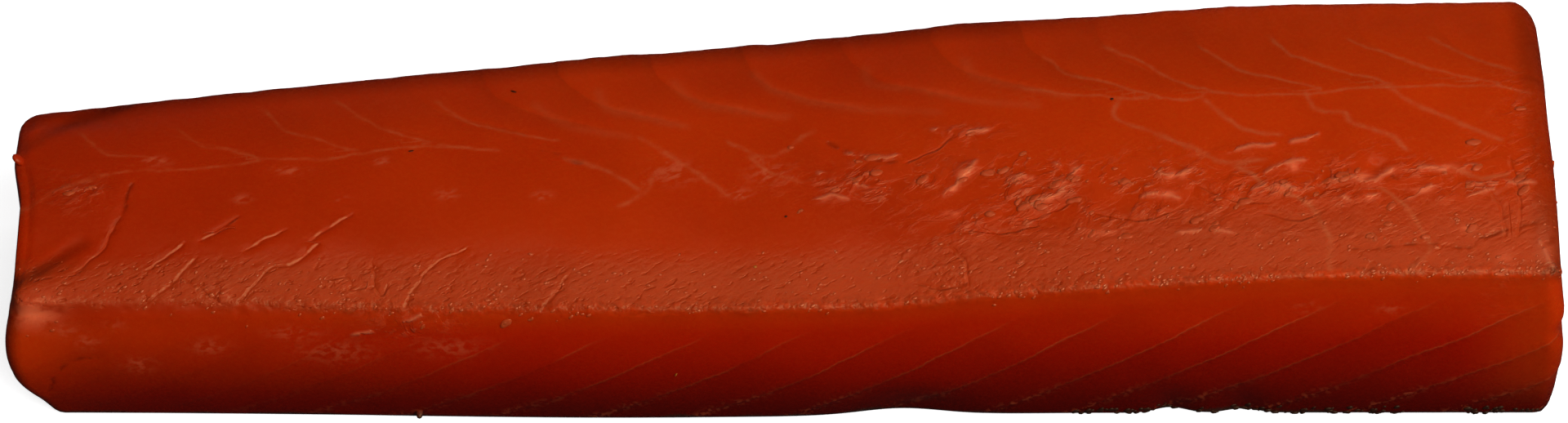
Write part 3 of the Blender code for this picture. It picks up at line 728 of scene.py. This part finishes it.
TEAR_ANGLE = math.radians(30.0)
SEED_SHIFT = np.array([0.371, 0.173, 0.059])
FILM_STEPS = (0.43, 0.46), (0.54, 0.57)
# How far the soft noises shake a line sideways, in millimetres.
WANDER_BY, JITTER_BY = 1.2, 0.8


def noise(place, size, seed, detail=1.0, stretch=1.0, swirl=0.0):
    """Soft noise around 0.5 whose bumps are a size in metres. The seed moves the pattern, a
    stretch draws it out along the direction in which the flesh tears, and a swirl bends it."""
    tree = place.tree
    if stretch != 1.0:
        turned = field_of(tree, "ShaderNodeVectorRotate", {
            "Vector": place, "Angle": -TEAR_ANGLE}, rotation_type="Z_AXIS")
        place = field_of(tree, "ShaderNodeVectorMath", {
            0: turned, 1: (1.0 / stretch, 1.0, 1.0)}, operation="MULTIPLY")
    moved = field_of(tree, "ShaderNodeVectorMath", {
        0: place, 1: SEED_SHIFT * seed}, operation="ADD")
    return field_of(tree, "ShaderNodeTexNoise", {
        "Vector": moved, "Scale": 1.0 / size, "Detail": detail, "Distortion": swirl})


def torn_layers(place):
    """The pattern of the torn film and its steps: 0, 1 or 2 layers of film are left."""
    film = noise(place, 0.0034, 9, detail=3.0, stretch=1.6, swirl=1.1)
    return film, film.ramp(*FILM_STEPS[0]) + film.ramp(*FILM_STEPS[1])


def attribute(tree, name):
    """A named attribute, in a geometry tree or in a material."""
    if tree.bl_idname == "GeometryNodeTree":
        return field_of(tree, "GeometryNodeInputNamedAttribute", {"Name": name})
    return field_of(tree, "ShaderNodeAttribute", attribute_name=name, output="Fac")


# %% Start and finish a geometry tree
def start_tree(name, sizes):
    """A geometry tree with one named input for each size; returns the tree and its fields."""
    tree = bpy.data.node_groups.new(name, "GeometryNodeTree")
    tree.interface.new_socket("Geometry", in_out="INPUT", socket_type="NodeSocketGeometry")
    for label, value in sizes.items():
        socket = tree.interface.new_socket(label, in_out="INPUT", socket_type="NodeSocketFloat")
        socket.default_value = value
    tree.interface.new_socket("Geometry", in_out="OUTPUT", socket_type="NodeSocketGeometry")
    group = tree.nodes.new("NodeGroupInput")
    return tree, {socket.name: Field(tree, socket) for socket in group.outputs if socket.name}


def push_out(geometry, height):
    """The geometry with each point moved along its normal, in metres."""
    tree = geometry.tree
    offset = field_of(tree, "ShaderNodeVectorMath", {
        0: field_of(tree, "GeometryNodeInputNormal"), "Scale": height}, operation="SCALE")
    return field_of(tree, "GeometryNodeSetPosition", {"Geometry": geometry, "Offset": offset})


def finish_tree(geometry, material):
    """Ends a tree; what comes out of it is a real mesh in one material."""
    tree = geometry.tree
    real = field_of(tree, "GeometryNodeRealizeInstances", {"Geometry": geometry})
    painted = field_of(tree, "GeometryNodeSetMaterial", {"Geometry": real, "Material": material})
    node_of(tree, "NodeGroupOutput", {0: painted})


def run_tree(source, tree, name):
    """Runs a tree on an object and returns the result as a plain mesh object."""
    modifier = source.modifiers.new(tree.name, "NODES")
    modifier.node_group = tree
    graph = bpy.context.evaluated_depsgraph_get()
    result = bpy.data.meshes.new_from_object(
        source.evaluated_get(graph), preserve_all_data_layers=True, depsgraph=graph)
    source.modifiers.remove(modifier)
    print(name, "has", sum(len(face.vertices) - 2 for face in result.polygons), "triangles")
    return add_object(name, result)


# %% [markdown]
# ## The look of smoked flesh
#
# Smoked salmon is translucent: light goes in and comes out red, which is subsurface scattering.
# It is brighter and more orange in some segments, pale on fat lines and torn edges, and brown at
# the very foot, where skin is left. Painted shade darkens the sides and the end faces towards the
# foot, the back shoulder, the head's top edge, the folds and the cracks; painted highlights lie on
# the tail's lobe, the crease lips and the glints of the torn flesh, and the strip above the ridge
# is partly painted sheen. All of it is worked out from attributes and from the place on the
# object, so the pattern stays on the fish from every side.

# %% Colours of the flesh
DEEP = (0.405, 0.0178, 0.0004, 1.0)
BRIGHT = (0.530, 0.0325, 0.0009, 1.0)
FAT = (0.52, 0.085, 0.022, 1.0)
TORN = (0.58, 0.100, 0.034, 1.0)
# Partly the dried skin of the strip above the ridge, partly painted sheen.
PELLICLE_AND_SHEEN = (0.41, 0.038, 0.006, 1.0)
FRONT = (0.44, 0.0078, 0.0001, 1.0)
# Painted shade, laid over the foot of the front and back sides and of the end faces.
SHADE = (0.080, 0.0010, 0.0003, 1.0)
SKIN_SIDE = (0.055, 0.016, 0.010, 1.0)
# Light goes deepest into the flesh in red.
RED_DEEPEST = (1.0, 0.25, 0.10)
GRAIN_SIZE = 0.0007


def nearest_whole(number, pitch):
    """Millimetres to the nearest sheet or ring, and the share of the way past the last one."""
    past = number.math("FRACT")
    return (past - 0.5).math("ABSOLUTE") * -pitch + 0.5 * pitch, past


def new_material(name, sockets):
    material = bpy.data.materials.new(name)
    material.use_nodes = True
    fill(material.node_tree, material.node_tree.nodes["Principled BSDF"], sockets)
    return material


# %% The flesh material
def flesh_material():
    material = new_material("smoked_salmon_flesh", {
        "Subsurface Weight": 0.35, "Subsurface Radius": RED_DEEPEST, "Subsurface Scale": 0.0025,
        "Specular IOR Level": 0.28, "Specular Tint": (1.0, 0.74, 0.34, 1.0)})
    tree = material.node_tree

    def skin(name):
        return attribute(tree, name)

    place = field_of(tree, "ShaderNodeTexCoord", output="Object")
    rise = field_of(tree, "ShaderNodeSeparateXYZ", {0: place}, output="Z") * (1 / MM)
    grain = noise(place, GRAIN_SIZE, 1, detail=2.0)
    streak = noise(place, GRAIN_SIZE, 2, detail=2.0, stretch=2.4)
    flakes = noise(place, 0.0022, 15, detail=3.0, stretch=1.9)
    film, layers = torn_layers(place)
    wander, jitter = skin("wander") - 0.5, skin("jitter") - 0.5
    broad, broken, clump, ticked = skin("broad"), skin("broken"), skin("clump"), skin("ticked")
    torn, lit, ridge_line = skin("torn"), skin("brighter"), skin("ridge_line")
    strip = skin("strip") * (skin("girth") + wander * 3.0 + jitter * 2.5).ramp(-0.6, 0.8)
    at_ridge = skin("girth").bell(1.1)

    def mark(kind, width, reach, shift=0.0):
        """A thin line along the routes of one kind, not quite straight."""
        near = skin(kind + "_near").ramp(reach, reach * 0.3)
        shaken = skin(kind + "_side") + wander * WANDER_BY + jitter * JITTER_BY + shift
        return shaken.bell(width) * near * skin("seen")

    to_sheet, past = nearest_whole(
        skin("segment") + wander * 0.14 + jitter * 0.05, SHEET_PITCH)
    to_ring = nearest_whole(skin("cap_rings") + wander * 0.5, RING_PITCH)[0]
    sheet_line = to_sheet.bell(0.26) * skin("line_strength") * broken
    sheet_line += to_ring.bell(0.30) * broken * skin("cap")
    edges = ((film - 0.448).bell(0.012) + (film - 0.558).bell(0.012)) * ticked * torn
    scraps = streak.ramp(0.54, 0.60) * clump * torn
    tear = mark("tear", 0.36, 1.6) * flakes.ramp(0.45, 0.51)
    shine = skin("lobe_shine") * flakes.ramp(0.30, 0.52)
    crest = (1.0 - (film - 0.5).math("ABSOLUTE") * 2.0).math("POWER", 9.0)
    crest = crest * streak.ramp(0.46, 0.58) * torn * (clump * 0.75 + 0.25)
    dots = to_sheet.bell(1.3) * grain.ramp(0.52, 0.62) * skin("stipple")
    smears = skin("smears") * streak.ramp(0.42, 0.60)

    # The colours are laid over each other like thin coats of paint.
    colour = DEEP
    for share, paint in (
        ((lit * 0.85 + (broad - 0.5) * 0.9).ramp(0.0, 1.0), BRIGHT),
        (skin("deep_front"), FRONT),
        (strip * (broad * 0.6 + 0.35), PELLICLE_AND_SHEEN),
        (sheet_line * 0.46, FAT),
        (mark("line", 0.24, 2.0) * (ticked * 0.26 + lit * 0.28 + 0.10), FAT),
        (mark("band", 0.70, 2.4) * (broken * 0.12 + 0.10), FAT),
        (mark("vein", 0.38, 1.8) * (ticked * 0.30 + lit * 0.28 + torn * 0.25 + 0.06), FAT),
        # The pale line on the lip beside each crease is a painted highlight.
        (mark("crease", 0.17, 1.8, 0.26) * ticked * 0.42, FAT),
        # The shine spots are painted highlights; the tears, crests and step edges of the torn
        # flakes are paler flesh and painted highlights both.
        (tear + shine, TORN),
        (scraps * 0.38 + crest * 0.30, TORN),
        (edges * 0.32 + layers * torn * 0.03, TORN),
        (skin("shade"), SHADE),
        (dots * 0.36 + smears * 0.30, TORN),
        ((rise + wander * 3.0).ramp(1.3, 0.3), SKIN_SIDE),
    ):
        colour = field_of(tree, "ShaderNodeMix", {
            0: share, 6: colour, 7: paint}, output=2, data_type="RGBA")

    # How bright the colour is, as a sum of small steps up and down, some of them painted light and
    # shade.
    level = (grain - 0.5) * (torn * 0.10 + strip * 0.08 + 0.05)
    # Each segment shades from light to dark between its lines: partly the flesh's own tone and
    # partly painted shade of the overlapping shingles.
    level += (past - 0.6) * skin("front_saw") * 0.19
    level += (0.5 - past) * skin("back_saw") * 0.13
    level += 1.0
    level += (grain - 0.52) * ridge_line * 0.9
    # Painted light on the front side of the tail.
    level += skin("tail_front") * 0.12
    level -= skin("edge_shade") * 0.42
    level += (layers - 2.2) * torn * 0.04
    # Painted highlights: the shine spots and the glints of the torn flesh.
    level += shine * 0.4
    level -= at_ridge * 0.10
    # Painted shade in the folds, and painted light on their lit side.
    level -= mark("fold", 1.1, 3.0, 0.3) * 0.20
    level += mark("fold", 1.0, 3.0, -1.8) * 0.14
    # Painted shade in the cracks.
    level -= mark("crack", 0.34, 2.0) * ticked * 0.30
    level += (broken - 0.5) * 0.05

    # How high the finest relief stands, in millimetres.
    calmer = lit * -0.75 + 1.15
    height = grain * (strip * 0.07 + ridge_line * 0.12 + 0.01)
    height += streak * (strip * calmer * 0.13 + 0.01)
    height -= streak.ramp(0.42, 0.30) * strip * calmer * 0.10
    height += sheet_line * 0.02
    height += scraps * 0.07
    height += layers * torn * (clump * 0.06 + 0.03)
    height += crest * 0.06
    height += mark("crease", 0.24, 1.8, 0.36) * (ticked * 0.06 + 0.02)
    height -= mark("crease", 0.20, 1.8) * 0.08
    height += tear * 0.12
    height -= mark("crack", 0.30, 2.0) * (ticked * 0.08 + 0.02)

    fill(tree, tree.nodes["Principled BSDF"], {
        "Base Color": field_of(tree, "ShaderNodeHueSaturation", {"Value": level, "Color": colour}),
        "Normal": field_of(tree, "ShaderNodeBump", {"Height": height, "Distance": MM}),
        "Roughness": grain * 0.16 + at_ridge * 0.08 + strip * 0.06 - torn * 0.03 + 0.19})
    return material


flesh = flesh_material()
print("flesh material:", len(flesh.node_tree.nodes), "nodes")

# %% [markdown]
# ## Relief, as a rule over the skin
#
# Each segment laps over the next like a shingle, creases sink in with a raised lip, and the
# strip above the ridge is pitted. One tree moves every point along its normal by a sum of small
# heights, and each height is a named input, which sculpting by hand wouldn't have.

# %% Build the relief tree
# Heights, depths and widths are in millimetres. The sizes of noises are in metres.
RELIEF = {
    "Groove Depth": 0.08, "Groove Width": 0.7, "Shingle Step": 0.16, "Crease Depth": 0.11,
    "Crease Width": 0.5, "Lip Height": 0.06, "Crack Depth": 0.08, "Tear Height": 0.12,
    "Crumb Height": 0.20, "Crumb Size": 0.0011, "Flake Height": 0.08, "Pit Depth": 0.14,
    "Fold Depth": 0.14, "Pit Size": 0.0013, "Wave Height": 0.35, "Wave Length": 0.017,
    "Nibble Height": 0.16, "Nibble Length": 0.0022, "Rim Height": 0.24, "Rim Length": 0.0045,
}


def relief_tree():
    tree, put = start_tree("flesh_relief", RELIEF)

    def skin(name):
        return attribute(tree, name)

    def around(size, seed, detail=1.0, stretch=1.0):
        """Noise from about -1 to 1 whose bumps are a size in metres."""
        return (noise(place, size, seed, detail, stretch) - 0.5) * 2.0

    def mark(kind, tall, width, far, full):
        line = (skin(kind + "_side") + shake).bell(width)
        return tall * line * skin(kind + "_near").ramp(far, full)

    # These soft noises are stored on the mesh, for the material and for the small bits.
    place = field_of(tree, "GeometryNodeInputPosition")
    stored = {
        "wander": noise(place, 0.006, 3),
        "jitter": noise(place, 0.0022, 13),
        "broad": noise(place, 0.026, 4, detail=2.0),
        "broken": noise(place, 0.009, 5, detail=2.0).ramp(0.30, 0.58),
        "clump": noise(place, 0.0045, 6).ramp(0.42, 0.58),
        "ticked": noise(place, 0.0017, 16, detail=2.0).ramp(0.44, 0.58),
    }
    clump = stored["clump"]
    shake = (stored["wander"] - 0.5) * WANDER_BY + (stored["jitter"] - 0.5) * JITTER_BY

    to_sheet, past = nearest_whole(skin("segment"), SHEET_PITCH)
    saw = (past - 0.5) * skin("front_saw") + (0.5 - past) * skin("back_saw")
    groove = put["Groove Depth"] * to_sheet.bell(put["Groove Width"]) * skin("line_strength")
    height = put["Shingle Step"] * saw - groove * (1.0 - skin("off_top"))

    # A crease sinks in, with a raised lip beside it. Cracks, tears and folds are single lines.
    side = skin("crease_side") + shake
    lip = put["Lip Height"] * (side + 0.7).bell(put["Crease Width"])
    marks = lip * (stored["ticked"] * 0.95 + 0.05)
    marks -= put["Crease Depth"] * side.bell(put["Crease Width"])
    marks = marks * skin("crease_near").ramp(1.8, 0.6)
    marks -= mark("crack", put["Crack Depth"], 0.8, 2.0, 0.6)
    marks += mark("tear", put["Tear Height"], 0.7, 1.5, 0.5)
    marks -= mark("fold", put["Fold Depth"], 1.2, 3.0, 1.0)
    layers = torn_layers(place)[1] - 1.0
    marks += skin("torn") * put["Flake Height"] * layers * (clump * 0.6 + 0.4)
    bits = noise(place, put["Crumb Size"], 7, detail=2.0, stretch=2.2).ramp(0.55, 0.68)
    height += marks * skin("seen")
    height += bits * clump * skin("torn") * put["Crumb Height"]
    height += skin("swell")

    pit = around(put["Pit Size"], 10, 2.0, 1.8).ramp(0.15, 0.5)
    height -= put["Pit Depth"] * pit * skin("strip") * (skin("brighter") * -0.6 + 1.1)
    nibbles = around(put["Nibble Length"], 11, 2.0)
    height += put["Nibble Height"] * skin("girth").bell(1.2) * nibbles
    height += put["Wave Height"] * around(put["Wave Length"], 12)
    height += put["Rim Height"] * skin("rim") * around(put["Rim Length"], 14, 3.0)

    shape = put["Geometry"]
    for name, value in stored.items():
        shape = field_of(tree, "GeometryNodeStoreNamedAttribute", {
            "Geometry": shape, "Name": name, "Value": value})
    finish_tree(push_out(shape, height * skin("calm") * MM), flesh)
    return tree


loin = run_tree(block, relief_tree(), "loin_flesh")
bpy.data.objects.remove(block, do_unlink=True)
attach(loin, "root")
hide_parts("salmon_loin")

# %% [markdown]
# ## Beads, scraps and the fringe
#
# Small bits lie on the flesh: beads of oil on the ridge, scraps of torn flesh and, at the foot
# towards the head, a ragged brown fringe that the skin left. A node tree spreads points over the
# skin where a mask is strong, and sets a small rounded lump on each, drawn out along the tears.

# %% One tree for each kind of small bit
def lump_tree(name, mask, material, sizes):
    tree, put = start_tree(name, sizes)

    def random(low, high, seed):
        return field_of(tree, "FunctionNodeRandomValue", {2: low, 3: high, "Seed": seed}, output=1)

    def vector(x, y, z):
        return field_of(tree, "ShaderNodeCombineXYZ", {"X": x, "Y": y, "Z": z})

    spread = node_of(tree, "GeometryNodeDistributePointsOnFaces", {
        "Mesh": put["Geometry"], "Seed": 8,
        "Density": attribute(tree, mask) * attribute(tree, "clump") * put["Density"]})
    heading = random(TEAR_ANGLE - 0.5, TEAR_ANGLE + 0.5, 1)
    turn = field_of(tree, "FunctionNodeAlignRotationToVector", {
        "Rotation": field_of(tree, "FunctionNodeEulerToRotation", {0: vector(0.0, 0.0, heading)}),
        "Vector": Field(tree, spread.outputs["Normal"])}, axis="Z")
    size = random(put["Smallest"], put["Largest"], 2)
    ball = field_of(tree, "GeometryNodeMeshIcoSphere", {"Radius": 1.0, "Subdivisions": 2})
    placed = field_of(tree, "GeometryNodeInstanceOnPoints", {
        "Points": Field(tree, spread.outputs["Points"]), "Instance": ball, "Rotation": turn,
        "Scale": vector(size * put["Drawn Out"], size, size * put["Flat"])})
    real = field_of(tree, "GeometryNodeRealizeInstances", {"Geometry": placed})
    uneven = noise(field_of(tree, "GeometryNodeInputPosition"), 0.0006, 21) - 0.5
    shaped = push_out(real, uneven * put["Unevenness"])
    finish_tree(field_of(tree, "GeometryNodeSetShadeSmooth", {"Geometry": shaped}), material)
    return tree


# %% Beads, scraps and fringe
def wet_paint(name, colour, roughness, subsurface, gloss=0.28):
    return new_material(name, {
        "Base Color": (*colour, 1.0), "Roughness": roughness, "Subsurface Weight": subsurface,
        "Subsurface Radius": RED_DEEPEST, "Subsurface Scale": MM, "Specular IOR Level": gloss,
        "Specular Tint": (1.0, 0.74, 0.40, 1.0)})


LUMP_SIZES = ("Density", "Smallest", "Largest", "Drawn Out", "Flat", "Unevenness")
LUMPS = {
    "oil_beads": ("bead_room", wet_paint("oil_bead", (0.48, 0.055, 0.012), 0.22, 0.2, 0.6),
                  (2.4e6, 0.00007, 0.00021, 1.8, 0.5, 0.00010)),
    "torn_scraps": ("scrap_room", wet_paint("torn_flesh", (0.48, 0.055, 0.012), 0.30, 0.3),
                    (2.2e5, 0.00010, 0.00060, 1.9, 0.28, 0.00060)),
    "foot_fringe": ("fringe_room", wet_paint("skin_rest", (0.030, 0.009, 0.005), 0.45, 0.0),
                    (3.0e6, 0.00015, 0.00038, 1.6, 0.6, 0.00040)),
}
for name, (mask, paint, numbers) in LUMPS.items():
    tree = lump_tree(name + "_tree", mask, paint, dict(zip(LUMP_SIZES, numbers)))
    bits = run_tree(loin, tree, name)
    bits.data.materials.clear()
    bits.data.materials.append(paint)
    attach(bits, "root")

# %% [markdown]
# ## Single specks
#
# A few dark specks, yellow flecks and two little tags of flesh can be told apart in the
# photograph. Each is one squashed ball, set on the grid point nearest to its pixel.

# %% Specks, flecks and tags
BALL_ROWS, BALL_ROUND = 6, 10
HIDDEN = 500.0


def under_pixel(x, y):
    """The grid point seen at a pixel of the photograph, in millimetres, and its outward side."""
    off = np.hypot(picture_x - x, picture_y - y) + HIDDEN * (seen < 0.3)
    at = np.unravel_index(np.argmin(off), off.shape)
    return grid[at] + SOLID_SHIFT, outward[at]


def specks(name, places, paint, stand=0.0):
    """Squashed balls that stand a little out of the skin. Each is given by its pixel, its half
    length, its half width and its turn."""
    down = np.pi * np.arange(1, BALL_ROWS)[:, None] / BALL_ROWS
    turns = 2 * np.pi * np.arange(BALL_ROUND) / BALL_ROUND
    rings = np.stack(np.broadcast_arrays(
        np.sin(down) * np.cos(turns), np.sin(down) * np.sin(turns), np.cos(down)), axis=-1)
    ball = np.vstack([rings.reshape(-1, 3), (0, 0, 1), (0, 0, -1)])
    corners, faces = [], []
    for x, y, half_length, half_width, turn in places:
        middle, up = under_pixel(x, y)
        side_way = np.cross(up, (0.0, 1.0, 0.0))
        side_way /= np.linalg.norm(side_way)
        on_way = np.cross(up, side_way)
        cosine, sine = math.cos(math.radians(turn)), math.sin(math.radians(turn))
        axes = np.array([
            half_length * (cosine * side_way + sine * on_way),
            half_width * (cosine * on_way - sine * side_way), up * max(half_width * 0.5, stand)])
        faces += [[len(corners) + k for k in face] for face in grid_faces(*rings.shape[:2])]
        corners += (middle + ball @ axes).tolist()
    mesh = bpy.data.meshes.new(name)
    mesh.from_pydata((np.array(corners) * MM).tolist(), [], faces)
    mesh.shade_smooth()
    mesh.materials.append(paint)
    piece = add_object(name, mesh)
    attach(piece, "root")
    print(name, "has", len(mesh.polygons), "faces")


specks("dark_specks", (
    (505, 186, 0.45, 0.16, 10), (630, 112, 0.45, 0.16, -25), (963, 264, 0.20, 0.16, 0),
    (1362, 123, 0.24, 0.20, 0),
), wet_paint("speck", (0.030, 0.004, 0.002), 0.4, 0.0))
specks("pale_flecks", (
    (828, 460, 0.32, 0.14, 80), (992, 453, 0.60, 0.13, 35), (925, 327, 0.25, 0.20, 20),
), wet_paint("yellow_fleck", (0.40, 0.110, 0.012), 0.4, 0.2))
specks("flesh_tags", ((513, 504, 0.55, 0.42, 0), (23, 196, 0.45, 0.80, 0)), flesh, stand=1.1)

# %% [markdown]
# ## Floor and light
#
# One very large soft light stands high in front, so the top is bright and the front side falls
# off into deep red, darkened further by the painted shade of the flesh. Two long thin lights hang
# over the back, just where the strip above the ridge mirrors them into the camera. A low light
# behind keeps the hidden back side from going black. The floor is left out of the loin's
# reflections, because it would grey the deep red.

# %% Floor and world
FLOOR_REACH, FLOOR_Z = 3, -0.0002
floor_mesh = bpy.data.meshes.new("floor")
floor_mesh.from_pydata([
    (across * FLOOR_REACH, along * FLOOR_REACH, 0)
    for across, along in ((-1, -1), (1, -1), (1, 1), (-1, 1))], [], [(0, 1, 2, 3)])
floor_mesh.materials.append(new_material("pale_floor", {
    "Base Color": (0.93, 0.93, 0.93, 1), "Roughness": 0.9, "Specular IOR Level": 0,
    "Emission Color": (1, 1, 1, 1), "Emission Strength": 0.75}))
floor = add_object("floor", floor_mesh)
floor.location.z = FLOOR_Z
floor.visible_diffuse = floor.visible_glossy = floor.visible_transmission = False

world = bpy.data.worlds.new("studio")
bpy.context.scene.world = world
world.use_nodes = True
world.node_tree.nodes["Background"].inputs["Color"].default_value = (0.02, 0.02, 0.02, 1)


# %% Lights
def soft_light(name, place, aim, width, depth_size, watts, turn=0):
    data = bpy.data.lights.new(name, "AREA")
    data.shape, data.size, data.size_y, data.energy = "RECTANGLE", width, depth_size, watts
    lamp = add_object(name, data)
    lamp.location = place
    lamp.rotation_euler = (Vector(aim) - Vector(place)).to_track_quat("-Z", "Y").to_euler()
    lamp.rotation_euler.rotate_axis("Z", math.radians(turn))
    return lamp


soft_light("front_top_light", (0.55, -0.62, 0.82), (0, 0, 0), 1.2, 0.7, 15)
soft_light("over_back_right", (0.40, 0.25, 1), (0.40, 0, 0), 0.90, 0.16, 1)
behind = soft_light("behind_light", (0, 0.60, 0.10), (0, 0, 0.015), 1.60, 0.18, 1.5)
behind.visible_glossy = False
soft_light("over_back_left", (-0.17, 0.04, 1), (-0.17, 0.04, 0), 0.60, 0.15, 0.55, turn=55)

# %% Colours as they are
bpy.context.scene.view_settings.view_transform = "Standard"
